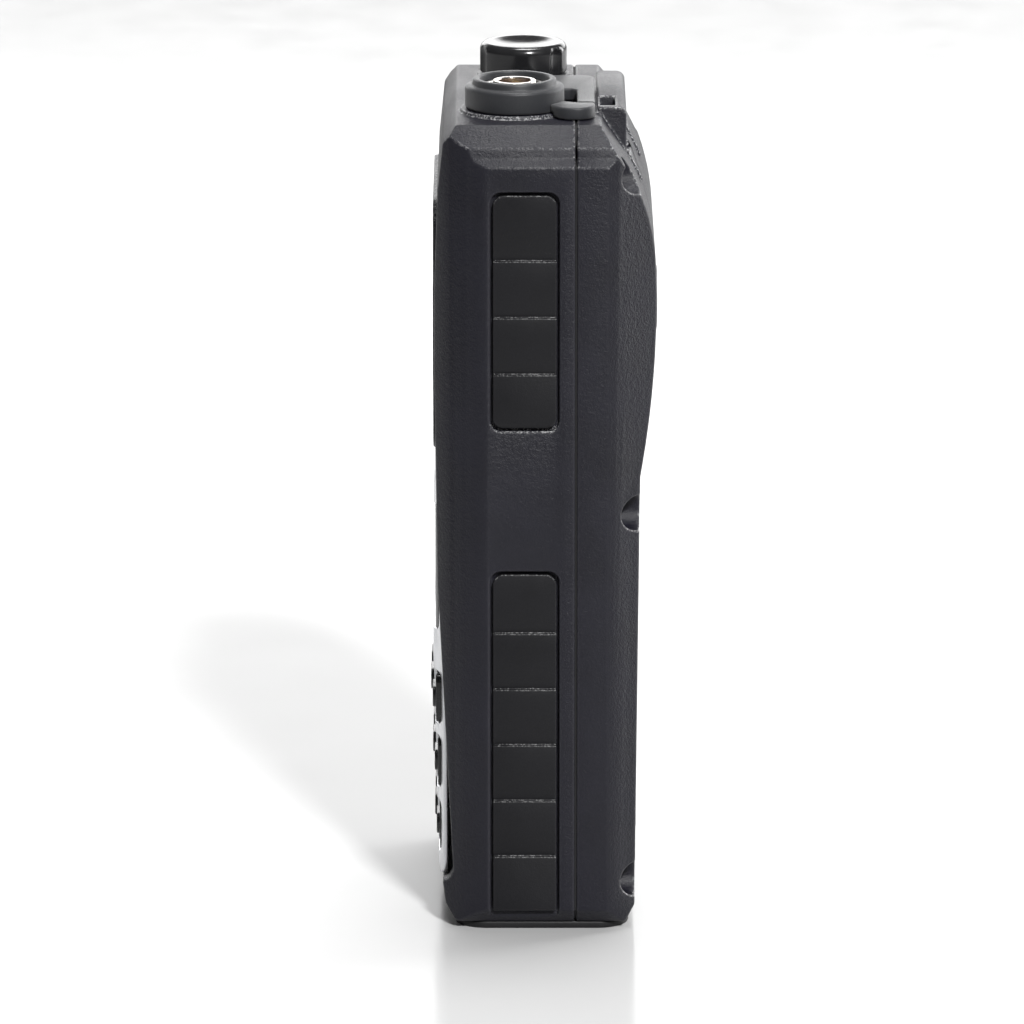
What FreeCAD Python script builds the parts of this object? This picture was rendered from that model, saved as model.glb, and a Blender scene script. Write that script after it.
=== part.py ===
import FreeCAD, Part
import math
import os
import re

import Sketcher

# A handheld two way radio standing on its foot. Millimetres, +Z up, +Y towards the back.
# The keypad faces -Y, the push-to-talk side is -X. The origin is the foot's centre on the floor.

DIMENSIONS = (
    # Case outline
    ("half_width", 28.0),
    ("top_plane", 113.2),
    ("ledge", 108.1),
    ("skirt", 3.2),
    ("foot_top", 1.1),
    ("foot_half", 25.7),
    ("foot_round", 4.5),
    ("front_face", 15.4),
    ("chin", 14.35),
    ("back_face", 12.6),
    ("bulge_face", 15.1),
    ("crease", 8.6),
    ("ledge_half", 27.0),
    ("plane_half", 23.0),
    ("front_flat_half", 21.6),
    ("back_flat_half", 21.4),
    ("corner_start", 8.1),
    ("corner_round", 14.0),
    ("upper_bulge_round", 30.0),
    ("lower_bulge_round", 130.0),
    # Shell walls and the seam between the halves
    ("seam", 4.1),
    ("seal", 0.3),
    ("wall", 2.2),
    ("cave_front_low", 10.8),
    ("cave_front_high", 13.1),
    ("cave_back", 10.6),
    ("cave_top", 110.9),
    ("cave_floor", 5.2),
    ("cave_step", 64.0),
    # Case screws
    ("screw_across", 23.8),
    ("screw_low", 6.9),
    ("screw_middle", 59.0),
    ("screw_high", 106.3),
    ("screw_well", 2.55),
    ("screw_seat", 8.0),
    ("screw_head", 2.2),
    ("screw_shank", 0.95),
    ("screw_tip", 2.5),
    ("pillar", 3.5),
    # Keypad panel, display and keys
    ("panel_half", 21.4),
    ("panel_low", 6.5),
    ("panel_high", 62.9),
    ("panel_back", 13.6),
    ("panel_gap", 0.15),
    ("panel_side", 14.1),
    ("panel_turn", 7.4),
    ("outer_key_drop", 0.3),
    ("lens_half", 18.5),
    ("lens_low", 41.0),
    ("lens_high", 58.5),
    ("key_pitch_x", 10.4),
    ("key_pitch_z", 9.1),
    ("key_first_z", 13.1),
    ("key_half", 3.9),
    ("key_tall", 6.9),
    ("key_ridge", 2.9),
    ("key_step", 0.45),
    ("key_gap", 0.25),
    ("key_back", 13.3),
    ("microphone_z", 39.0),
    # Side grips and side keys
    ("grip_front", 7.7),
    ("grip_back", 1.8),
    ("grip_deep", 1.0),
    ("grip_gap", 0.4),
    ("grip_round", 1.5),
    ("grip_low", 1.7),
    ("grip_low_top", 51.5),
    ("grip_high_low", 71.3),
    ("grip_high", 104.7),
    ("shingle", 7.95),
    ("shingle_slope", 0.9),
    ("shingle_dip", 0.45),
    ("talk_low", 80.0),
    ("talk_high", 99.0),
    ("side_key_low", 63.2),
    ("side_key_tall", 6.0),
    ("side_key_pitch", 8.0),
    ("side_key_front", 6.4),
    ("side_key_back", 0.4),
    ("side_key_proud", 0.9),
    # Tuning knob
    ("knob_x", -12.3),
    ("knob_y", -3.1),
    ("knob_radius", 6.1),
    ("knob_foot", 114.2),
    ("knob_top", 118.5),
    ("collar_radius", 6.5),
    ("collar_tall", 0.9),
    ("shaft_radius", 3.0),
    ("flute_radius", 2.0),
    ("flute_deep", 0.6),
    ("flute_angle", 50.0),
    # Antenna connector
    ("aerial_x", 12.3),
    ("aerial_y", -4.35),
    ("boss_radius", 7.5),
    ("boss_tall", 0.5),
    ("barrel_radius", 3.175),
    ("barrel_body", 3.3),
    ("barrel_bore", 2.3),
    ("barrel_top", 117.5),
    ("nut_radius", 4.35),
    ("nut_tall", 3.3),
    ("ring_radius", 6.85),
    ("ring_band", 3.2),
    ("rim_radius", 5.7),
    ("rim_bore", 4.75),
    ("rim_tall", 0.9),
    # Jack cap and its socket block
    ("cap_front", -0.4),
    ("cap_back", 6.7),
    ("cap_far", -5.0),
    ("cap_near", 5.4),
    ("cap_neck", 4.3),
    ("cap_hinge", 15.2),
    ("cap_foot", 113.3),
    ("cap_thick", 1.7),
    ("jack_y", 1.9),
    ("jack_large_x", 1.8),
    ("jack_small_x", -2.6),
    ("jack_large", 1.8),
    ("jack_small", 1.3),
    # Belt clip stud
    ("stud_z", 84.4),
    ("stud_head", 4.7),
    ("stud_neck", 2.75),
    ("stud_face", 15.55),
    ("stud_pocket", 6.5),
    # Lanyard bridge
    ("bridge_half", 14.0),
    ("bridge_front", 7.0),
    ("bridge_back", 11.1),
    ("bridge_top", 114.0),
    ("slot_low_x", 5.4),
    ("slot_high_x", 12.4),
    ("slot_front", 7.4),
    ("slot_back", 9.55),
    ("slot_floor", 107.0),
    # Battery and its door
    ("door_half", 17.75),
    ("door_low", 12.35),
    ("door_high", 57.75),
    ("door_inner", 11.0),
    ("door_gap", 0.3),
    ("door_pin_y", 11.75),
    ("door_pin_z", 13.0),
    ("door_pin", 0.5),
    ("latch_half", 2.6),
    # Inner pieces
    ("board_half", 18.4),
    ("battery_front", 4.7),
    ("battery_back", 10.2),
    ("speaker_z", 84.0),
    ("speaker_radius", 14.0),
)

KEY_COLUMNS = (-1.5, -0.5, 0.5, 1.5)
KEY_ROWS = (0, 1, 2)
SCREW_HEIGHTS = ("screw_low", "screw_middle", "screw_high")
NAME = re.compile(r"[a-z][a-z0-9_]*\b(?!\()")

doc = FreeCAD.newDocument("two_way_radio")
sheet = doc.addObject("Spreadsheet::Sheet", "dims")
for row, (alias, number) in enumerate(DIMENSIONS, start=1):
    sheet.set(f"A{row}", alias)
    sheet.set(f"B{row}", str(number))
    sheet.setAlias(f"B{row}", alias)
doc.recompute()


def bound(formula):
    """The formula with each dimension's name pointing at its cell in the sheet."""
    return NAME.sub(lambda found: "dims." + found.group(0), formula)


def size(formula):
    """The formula's number of millimetres."""
    return float(sheet.evalExpression(bound(formula)))


# Building blocks

TURNED = {
    "x": FreeCAD.Rotation(FreeCAD.Vector(0, 1, 0), 90),
    "y": FreeCAD.Rotation(FreeCAD.Vector(1, 0, 0), -90),
    "z": FreeCAD.Rotation(),
}
PLANES = {"x": "YZ_Plane", "y": "XZ_Plane", "z": "XY_Plane"}


def place(piece, x, y, z, rotation=None):
    """Bind a piece's position to the sheet, keeping its rotation."""
    piece.Placement = FreeCAD.Placement(FreeCAD.Vector(), rotation or FreeCAD.Rotation())
    for axis, formula in zip("xyz", (x, y, z)):
        piece.setExpression(f"Placement.Base.{axis}", bound(formula))
    return piece


def box(name, x, y, z):
    """A box between a low and a high formula along each axis."""
    piece = doc.addObject("Part::Box", name)
    for side, (low, high) in zip(("Length", "Width", "Height"), (x, y, z)):
        piece.setExpression(side, bound(f"({high}) - ({low})"))
    return place(piece, x[0], y[0], z[0])


def rod(name, axis, radius, ends, x, y, z):
    """A cylinder along an axis. The start along that axis comes from ends."""
    piece = doc.addObject("Part::Cylinder", name)
    piece.setExpression("Radius", bound(radius))
    piece.setExpression("Height", bound(f"({ends[1]}) - ({ends[0]})"))
    at = {"x": x, "y": y, "z": z}
    at[axis] = ends[0]
    return place(piece, at["x"], at["y"], at["z"], TURNED[axis])


def cut(name, base, tools):
    """The base with every tool taken out of it."""
    tool = tools[0] if len(tools) == 1 else fuse(name + "_tools", tools)
    piece = doc.addObject("Part::Cut", name)
    piece.Base = base
    piece.Tool = tool
    return piece


def fuse(name, shapes):
    """Several shapes as one."""
    piece = doc.addObject("Part::MultiFuse", name)
    piece.Shapes = shapes
    return piece


def common(name, shapes):
    """What several shapes share."""
    piece = doc.addObject("Part::MultiCommon", name)
    piece.Shapes = shapes
    return piece


def group(name, shapes):
    """Separate solids that share one node."""
    piece = doc.addObject("Part::Compound", name)
    piece.Links = shapes
    return piece


def arc_between(start, end, radius):
    """The short arc from start to end. A positive radius turns left."""
    chord = end - start
    sag_side = FreeCAD.Vector(chord.y, -chord.x, 0).normalize()
    half = chord.Length / 2
    sagitta = abs(radius) - math.sqrt(radius * radius - half * half)
    middle = (start + end) / 2 + sag_side * math.copysign(sagitta, radius)
    return Part.Arc(start, middle, end)


def fix_point(sketch, index, place_on, corner):
    """Bind one end of a line or arc to its corner's two formulas."""
    for kind, formula in zip(("DistanceX", "DistanceY"), corner):
        name = f"{kind}_{index}"
        rule = sketch.addConstraint(Sketcher.Constraint(kind, -1, 1, index, place_on, size(formula)))
        sketch.renameConstraint(rule, name)
        sketch.setExpression(f"Constraints.{name}", bound(formula))


def outline(body, name, axis, corners, offset):
    """A closed sketch. Each corner is (across, up), or (across, up, radius) to arc to the next."""
    sketch = body.newObject("Sketcher::SketchObject", name)
    plane = next(item for item in body.Origin.OriginFeatures if item.Role == PLANES[axis])
    sketch.AttachmentSupport = [(plane, "")]
    sketch.MapMode = "FlatFace"
    sketch.setExpression("AttachmentOffset.Base.z", bound(offset))
    points = [FreeCAD.Vector(size(corner[0]), size(corner[1]), 0) for corner in corners]
    for index, corner in enumerate(corners):
        start = points[index]
        end = points[(index + 1) % len(points)]
        if len(corner) == 2:
            sketch.addGeometry(Part.LineSegment(start, end))
        else:
            sketch.addGeometry(arc_between(start, end, size(corner[2])))
    ends = [(1, 2) if sketch.getPoint(index, 1).isEqual(points[index], 1e-5) else (2, 1)
            for index in range(len(points))]
    for index, corner in enumerate(corners):
        after = (index + 1) % len(corners)
        sketch.addConstraint(Sketcher.Constraint("Coincident", index, ends[index][1], after, ends[after][0]))
        fix_point(sketch, index, ends[index][0], corner[:2])
        if len(corner) == 3:
            rule = sketch.addConstraint(Sketcher.Constraint("Radius", index, abs(size(corner[2]))))
            sketch.renameConstraint(rule, f"Radius_{index}")
            sketch.setExpression(f"Constraints.Radius_{index}", bound(f"abs({corner[2]})"))
    return sketch


def slab(name, axis, corners, low, high):
    """An outline padded between two heights along its axis."""
    body = doc.addObject("PartDesign::Body", name)
    sketch = outline(body, name + "_sketch", axis, corners, f"-({high})" if axis == "y" else low)
    pad = body.newObject("PartDesign::Pad", name + "_pad")
    pad.Profile = sketch
    pad.setExpression("Length", bound(f"({high}) - ({low})"))
    return body


def turned(name, corners, x, y, z, rotation=None):
    """A body turned about its own Z axis from an outline of (radius, height) corners."""
    body = doc.addObject("PartDesign::Body", name)
    sketch = outline(body, name + "_sketch", "y", corners, "0")
    turn = body.newObject("PartDesign::Revolution", name + "_turn")
    turn.Profile = sketch
    turn.ReferenceAxis = (sketch, ["V_Axis"])
    turn.Angle = 360
    return place(body, x, y, z, rotation)


def rounded(low_x, high_x, low_y, high_y, radius):
    """Corners of a rectangle with round corners."""
    return [
        (f"{low_x} + {radius}", low_y),
        (f"{high_x} - {radius}", low_y, radius),
        (high_x, f"{low_y} + {radius}"),
        (high_x, f"{high_y} - {radius}", radius),
        (f"{high_x} - {radius}", high_y),
        (f"{low_x} + {radius}", high_y, radius),
        (low_x, f"{high_y} - {radius}"),
        (low_x, f"{low_y} + {radius}", radius),
    ]


def mirrored(points):
    """An outline's right side followed by its mirror image on the left."""
    left = [("-(" + point[0] + ")",) + tuple(point[1:2]) for point in reversed(points)]
    return list(points) + left


def finish(piece, label):
    """Name a sub-part. Its label is its file's name."""
    piece.Label = label
    nodes.append(piece)
    return piece


nodes = []

# The outer form that both case halves share: what three outlines have in common.

SIDE_OUTLINE = [
    ("-chin + 1.8", "foot_top"),
    ("back_face - 1.5", "foot_top"),
    ("back_face - 0.25", "skirt"),
    ("back_face", "32"),
    ("back_face + 0.4", "cave_step", "lower_bulge_round"),
    ("bulge_face", "93", "upper_bulge_round"),
    ("crease + 1.6", "109"),
    ("7.5", "top_plane"),
    ("-front_face + 3", "top_plane"),
    ("-front_face + 1.2", "top_plane - 2.4"),
    ("-front_face + 0.45", "103.7"),
    ("-front_face", "90"),
    ("-front_face", "77"),
    ("-front_face + 0.2", "cave_step"),
    ("-front_face + 0.4", "48.5"),
    ("-chin + 1.5", "8.1"),
    ("-chin + 0.9", "6.9"),
    ("-chin", "6.4"),
    ("-chin + 0.45", "skirt"),
]


# Seen from above: rounded front corners and a flat facet at each back corner.
PLAN_OUTLINE = [
    ("-front_flat_half", "-front_face - 0.3"),
    ("front_flat_half", "-front_face - 0.3", "corner_round"),
    ("half_width", "-corner_start"),
    ("half_width", "crease"),
    ("back_flat_half", "bulge_face + 0.9"),
    ("-back_flat_half", "bulge_face + 0.9"),
    ("-half_width", "crease"),
    ("-half_width", "-corner_start", "corner_round"),
]

# Seen from the front: a skirt below and a stepped shoulder above.
FRONT_OUTLINE = mirrored([
    ("half_width - 2.1", "foot_top"),
    ("half_width", "skirt"),
    ("half_width", "ledge"),
    ("ledge_half", "ledge + 1.1"),
    ("ledge_half - 0.3", "ledge + 2.5"),
    ("plane_half", "top_plane"),
])


outer_form = common("outer_form", [
    slab("side_form", "x", SIDE_OUTLINE, "-half_width", "half_width"),
    slab("plan_form", "z", PLAN_OUTLINE, "0", "top_plane"),
    slab("front_form", "y", FRONT_OUTLINE, "-20", "20"),
])


def cave(name, front, back, low, high):
    """The room inside the case, with its front and back corners cut off."""
    corners = mirrored([
        ("half_width - wall - 4.6", front),
        ("half_width - wall", f"{front} + 4.4"),
        ("half_width - wall", f"{back} - 3"),
        ("half_width - wall - 3.2", back),
    ])
    return slab(name, "z", corners, low, high)


def screw_rods(name, radius, ends):
    """One rod per case screw."""
    rods = []
    for side, sign in (("left", "-"), ("right", "")):
        for height in SCREW_HEIGHTS:
            rods.append(rod(f"{name}_{side}_{height}", "y", radius, ends, sign + "screw_across", "0", height))
    return rods


# Side features shared by the case and the pieces that sit in it

GRIPS = {
    "side_grip_upper": ("right", "grip_high_low", "grip_high_low", "grip_high", "9.5"),
    "side_grip_lower_right": ("right", "grip_low", "skirt", "grip_low_top", "8.7"),
    "side_grip_lower_left": ("left", "grip_low", "skirt", "grip_low_top - 9", "8.7"),
}


def grip_area(name, low, high, inset):
    """The round-cornered area of a grip, running right across the radio."""
    corners = rounded(f"-grip_front + {inset}", f"grip_back - {inset}", f"{low} + {inset}",
                      f"{high} - {inset}",
                      "grip_round")
    return slab(name, "x", corners, "-half_width - 1", "half_width + 1")


def grip_recess(name):
    """The pocket in the case side that a grip is set in."""
    side, low, _, high, _ = GRIPS[name]
    area = grip_area(name + "_recess_area", low, high, "0")
    x = ("half_width - grip_deep", "half_width + 2") if side == "right" else (
        "-half_width - 2", "-half_width + grip_deep")
    return common(name + "_recess", [area, box(name + "_recess_depth", x, ("-20", "20"), ("0", "120"))])


def grip(name):
    """A rubber grip whose face steps like shingles."""
    side, low, end, high, first = GRIPS[name]
    face = "half_width + 0.15"
    count = math.floor((size(f"({high}) - ({end})") - size(first)) / size("shingle")) + 1
    corners = [("half_width - grip_deep", end), (face, end)]
    for step in reversed(range(count)):
        line = f"{high} - {first} - shingle * {step}"
        corners.append((face, f"{line} - 0.1"))
        corners.append((f"{face} - shingle_dip", line))
        corners.append((face, f"{line} + shingle_slope"))
    corners += [(face, high), ("half_width - grip_deep", high)]
    if side == "left":
        corners = [(f"-({across})", up) for across, up in reversed(corners)]
    steps = slab(name + "_steps", "y", corners, "-20", "20")
    return finish(common(name, [grip_area(name + "_area", low, high, "grip_gap"), steps]), name)


SIDE_KEYS = {
    "talk_button": ("talk_low", "talk_high"),
    "monitor_key": ("side_key_low + side_key_pitch", "side_key_low + side_key_pitch + side_key_tall"),
    "lamp_key": ("side_key_low", "side_key_low + side_key_tall"),
}


def side_key_slab(name, key, outer, inner, gap):
    """A round-cornered bar through the left wall."""
    low, high = SIDE_KEYS[key]
    corners = rounded(f"-side_key_front - {gap}", f"side_key_back + {gap}", f"{low} - {gap}",
                      f"{high} + {gap}",
                      "grip_round")
    return slab(name, "x", corners, outer, inner)


# Front case

def speaker_slots():
    """Slots in front of the speaker, shorter above and below to fill a circle."""
    slots = []
    for step in range(-4, 5):
        reach = math.sqrt(size("speaker_radius") ** 2 - (2.8 * step) ** 2) / size("speaker_radius")
        slots.append(box(f"speaker_slot_{step + 4}",
                         (f"-(speaker_radius - 1.5) * {reach:.3f}", f"(speaker_radius - 1.5) * {reach:.3f}"),
                         ("-front_face - 2", "-cave_front_high + 0.2"),
                         (f"speaker_z + 2.8 * {step} - 0.6", f"speaker_z + 2.8 * {step} + 0.6")))
    return slots


def jack_bores(name, low):
    """The two jack bores, from a height up through the top plane."""
    return [
        rod(name + "_large", "z", "jack_large", (low, "120"), "jack_large_x", "jack_y", "0"),
        rod(name + "_small", "z", "jack_small", (low, "120"), "jack_small_x", "jack_y", "0"),
    ]


def front_case():
    half = box("front_half", ("-40", "40"), ("-40", "seam - seal / 2"), ("0", "140"))
    shell = cut("front_shell", common("front_solid", [outer_form, half]), [
        cave("front_cave_low", "-cave_front_low", "cave_back", "cave_floor", "cave_step"),
        cave("front_cave_high", "-cave_front_high", "cave_back", "cave_step", "106.4"),
        box("front_cave_top", ("-21", "21"), ("-11", "20"), ("106.4", "cave_top")),
    ])
    pillars = common("front_pillars", [
        outer_form,
        fuse("front_pillar_rods", screw_rods("front_pillar", "pillar",
                                             ("-screw_tip - 1.5", "seam - seal / 2"))),
    ])
    boss = rod("aerial_boss", "z", "boss_radius", ("top_plane - 2", "top_plane + boss_tall"),
               "aerial_x", "aerial_y", "0")
    brow = slab("front_brow", "y", rounded("-19.5", "19.5", "66.5", "101.6", "4"), "-front_face - 0.2",
                "-front_face + 0.8")
    solid = fuse("front_fused", [shell, pillars, boss, brow])
    tools = screw_rods("front_pilot", "screw_shank + 0.05", ("-screw_tip - 0.3", "20"))
    tools += speaker_slots()
    tools += [grip_recess(name) for name in GRIPS]
    tools += [side_key_slab(key + "_hole", key, "-half_width - 2", "-half_width + wall + 1", "0.25")
              for key in SIDE_KEYS]
    tools += [
        box("panel_hole", ("-panel_half - panel_gap", "panel_half + panel_gap"),
            ("-25", "-cave_front_low + 0.5"),
            ("panel_low - panel_gap", "panel_high + panel_gap")),
        rod("encoder_hole", "z", "shaft_radius + 0.3", ("100", "130"), "knob_x", "knob_y", "0"),
        rod("aerial_hole", "z", "barrel_body + 0.05", ("100", "130"), "aerial_x", "aerial_y", "0"),
        rod("lamp_hole", "z", "1.1", ("100", "130"), "-1", "-8.6", "0"),
    ]
    tools += jack_bores("jack_way", "110")
    return finish(cut("front_case", solid, tools), "front_case")


# Rear case

def rear_case():
    half = box("rear_half", ("-40", "40"), ("seam + seal / 2", "40"), ("0", "140"))
    bridge = slab("bridge", "x", [
        ("bridge_front", "104"),
        ("bridge_back", "104"),
        ("bridge_back", "bridge_top - 1.2", "1.2"),
        ("bridge_back - 1.2", "bridge_top"),
        ("bridge_front + 0.4", "bridge_top"),
        ("bridge_front", "bridge_top - 0.4"),
    ], "-bridge_half", "bridge_half")
    ribs = [slab(f"rib_{side}", "x", [("10", "107.2"), ("11.35", "107.9"), ("13.45", "103.6"),
                                      ("12.3", "102.6")],
                 low, high) for side, low, high in (("right", "5", "13.2"), ("left", "-13.2", "-5"))]
    shell = cut("rear_shell", common("rear_solid", [outer_form, half]), [
        cave("rear_cave", "-20", "cave_back", "cave_floor", "106"),
    ])
    pillars = common("rear_pillars", [
        outer_form,
        fuse("rear_pillar_rods", screw_rods("rear_pillar", "pillar", ("seam + seal / 2", "20"))),
    ])
    solid = fuse("rear_fused", [shell, pillars, bridge] + ribs)
    tools = screw_rods("rear_well", "screw_well", ("screw_seat", "25"))
    tools += screw_rods("rear_way", "screw_shank + 0.2", ("0", "25"))
    tools += [
        box("lanyard_drop", ("slot_low_x", "slot_high_x"), ("slot_front", "slot_back"),
            ("slot_floor", "120")),
        box("lanyard_exit", ("slot_low_x", "slot_high_x"), ("slot_front", "20"), ("slot_floor", "110.3")),
        rod("stud_well", "y", "stud_pocket", ("back_face + 0.1", "30"), "0", "0", "stud_z"),
        rod("stud_way", "y", "stud_neck + 0.05", ("0", "30"), "0", "0", "stud_z"),
        box("door_hole", ("-door_half - door_gap", "door_half + door_gap"), ("cave_back - 1", "30"),
            ("door_low - 0.35", "door_high + door_gap")),
        rod("door_pin_hole", "x", "door_pin + 0.1", ("-door_half - 2", "door_half + 2"), "0", "door_pin_y",
            "door_pin_z"),
        box("latch_bed", ("-latch_half - 2.4", "latch_half + 2.4"), ("back_face - 0.7", "30"),
            ("59.4", "66.9")),
        box("latch_way", ("-latch_half - 0.3", "latch_half + 0.3"), ("cave_back - 1", "30"),
            ("door_high", "64.9")),
    ]
    return finish(cut("rear_case", solid, tools), "rear_case")


def case_gasket():
    """The thin seal in the seam, following the case a little inside its outer edge."""
    rim = mirrored([
        ("half_width - 2.3", "foot_top + 0.3"),
        ("half_width - 0.3", "skirt"),
        ("half_width - 0.3", "ledge - 0.1"),
        ("ledge_half - 2", "ledge + 0.9"),
        ("ledge_half - 2", "top_plane - 2.6"),
        ("plane_half - 0.2", "top_plane - 0.3"),
    ])
    sheet_form = slab("gasket_rim", "y", rim, "seam - seal / 2", "seam + seal / 2")
    hole = box("gasket_hole", ("-half_width + wall", "half_width - wall"), ("0", "9"), ("cave_floor", "106"))
    tools = [hole] + screw_rods("gasket_way", "screw_shank + 0.2", ("0", "9"))
    return finish(cut("case_gasket", sheet_form, tools), "case_gasket")


def base_foot():
    corners = rounded("-foot_half", "foot_half", "-chin + 1.7", "back_face - 1.1", "foot_round")
    return finish(slab("base_foot", "z", corners, "0", "foot_top"), "base_foot")


def case_screws():
    """Six pan-head screws with a cross recess each, in one node."""
    screws = []
    for side, sign in (("left", "-"), ("right", "")):
        for height in SCREW_HEIGHTS:
            name = f"screw_{side}_{height}"
            x = sign + "screw_across"
            blank = fuse(name + "_blank", [
                rod(name + "_head", "y", "screw_head", ("screw_seat", "screw_seat + 1.3"), x, "0", height),
                rod(name + "_shank", "y", "screw_shank", ("-screw_tip", "screw_seat"), x, "0", height),
            ])
            recess = ("screw_seat + 0.6", "screw_seat + 2")
            screws.append(cut(name, blank, [
                box(name + "_slot_x", (f"{x} - 1.3", f"{x} + 1.3"), recess,
                    (f"{height} - 0.3", f"{height} + 0.3")),
                box(name + "_slot_z", (f"{x} - 0.3", f"{x} + 0.3"), recess,
                    (f"{height} - 1.3", f"{height} + 1.3")),
            ]))
    return finish(group("case_screws", screws), "case_screws")


# Keypad panel, display and keys

def panel_slope(z):
    """How far out the panel's face is at the key rows."""
    return f"(14.8 + 0.85 * ({z} - 8) / 29)"


def key_centre(column, line):
    """The centre of a key across and up."""
    return f"key_pitch_x * {column}", f"key_first_z + key_pitch_z * {line}"


def key_block(name, column, line, half, tall, front, back, radius):
    """A round-cornered bar at a key's place."""
    x, z = key_centre(column, line)
    corners = rounded(f"{x} - ({half})", f"{x} + ({half})", f"{z} - ({tall}) / 2", f"{z} + ({tall}) / 2",
                      radius)
    return slab(name, "y", corners, f"-({front})", f"-({back})")


def panel_plan(name):
    """The room of the panel seen from above, with its front turned back towards both sides."""
    return slab(name, "z", [
        ("-panel_half", "-12"),
        ("panel_half", "-12"),
        ("panel_half", "-panel_side"),
        ("panel_half - panel_turn", "-front_face - 0.8"),
        ("-panel_half + panel_turn", "-front_face - 0.8"),
        ("-panel_half", "-panel_side"),
    ], "panel_low - 1", "panel_high + 1")


def keypad_bezel():
    """The silver panel with a window for the display and a hole for each key."""
    corners = [
        ("-panel_back", "panel_low"),
        ("-panel_back", "panel_high"),
        ("-15.2", "panel_high"),
        ("-15.5", "panel_high - 0.8"),
        ("-15.65", "37"),
        ("-14.9", "panel_low + 1.4"),
        ("-14.6", "panel_low"),
    ]
    plate = slab("bezel_plate", "x", corners, "-panel_half", "panel_half")
    area = slab("bezel_area", "y", rounded("-panel_half", "panel_half", "panel_low", "panel_high", "2.2"),
                "-20", "-10")
    tools = [slab("display_window", "y", rounded("-lens_half - 0.1", "lens_half + 0.1", "lens_low - 0.1",
                                                 "lens_high + 0.1", "1.2"), "-20", "-10")]
    for line in KEY_ROWS:
        for number, column in enumerate(KEY_COLUMNS):
            tools.append(key_block(f"key_hole_{line}_{number}", column, line, "key_half + key_gap",
                                   "key_tall + key_gap * 2", "20", "10", "1.3"))
    tools.append(rod("microphone_hole", "y", "0.6", ("-20", "-10"), "0", "0", "microphone_z"))
    return finish(cut("keypad_bezel", common("bezel_blank", [plate, area, panel_plan("bezel_plan")]), tools), "keypad_bezel")


def keys():
    """Twelve key caps, each a base with a ridge on it."""
    for line in KEY_ROWS:
        for number, column in enumerate(KEY_COLUMNS):
            name = f"key_{line + 1}_{number + 1}"
            drop = "outer_key_drop" if number in (0, len(KEY_COLUMNS) - 1) else "0"
            face = panel_slope(key_centre(column, line)[1]) + f" - {drop}"
            base = key_block(name + "_base", column, line, "key_half", "key_tall", f"{face} + 0.1",
                             "key_back", "1.2")
            ridge = key_block(name + "_ridge", column, line, "key_half - 0.7", "key_ridge",
                              f"{face} + 0.1 + key_step", "key_back", "1.2")
            finish(fuse(name, [base, ridge]), name)


def display_parts():
    pane = slab("lens_pane", "y", rounded("-lens_half", "lens_half", "lens_low", "lens_high", "1.1"),
                "-15.35", "-14.35")
    finish(common("display_lens", [pane, panel_plan("lens_plan")]), "display_lens")
    finish(box("lcd_module", ("-17.5", "17.5"), ("-14.2", "-12.3"), ("lens_low + 0.6", "lens_high - 0.6")),
           "lcd_module")
    finish(box("keypad_mat", ("-20.6", "20.6"), ("-12.5", "-12.1"), ("8", "36.5")), "keypad_mat")
    finish(box("keypad_board", ("-20.6", "20.6"), ("-12", "-11"), ("7.4", "62")), "keypad_board")
    finish(rod("microphone", "y", "2.2", ("-13.4", "-12.1"), "0", "0", "microphone_z"), "microphone")


# Side keys

def side_keys():
    """Push-to-talk button and two smaller keys in the left wall, over their switches."""
    for key in SIDE_KEYS:
        finish(side_key_slab(key, key, "-half_width - side_key_proud", "-half_width + wall + 0.6", "0"), key)
    plates = []
    for key, (low, high) in SIDE_KEYS.items():
        middle = f"({low} + {high}) / 2"
        plates.append(box(key + "_switch", ("-24.2", "-22.6"), ("-5.2", "-0.8"),
                          (f"{middle} - 2", f"{middle} + 2")))
    finish(group("side_switches", plates), "side_switches")
    finish(box("side_board", ("-22.5", "-21.7"), ("-6.5", "0.5"), ("side_key_low - 0.2", "talk_high - 3")),
           "side_board")


# Tuning knob and encoder

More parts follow.
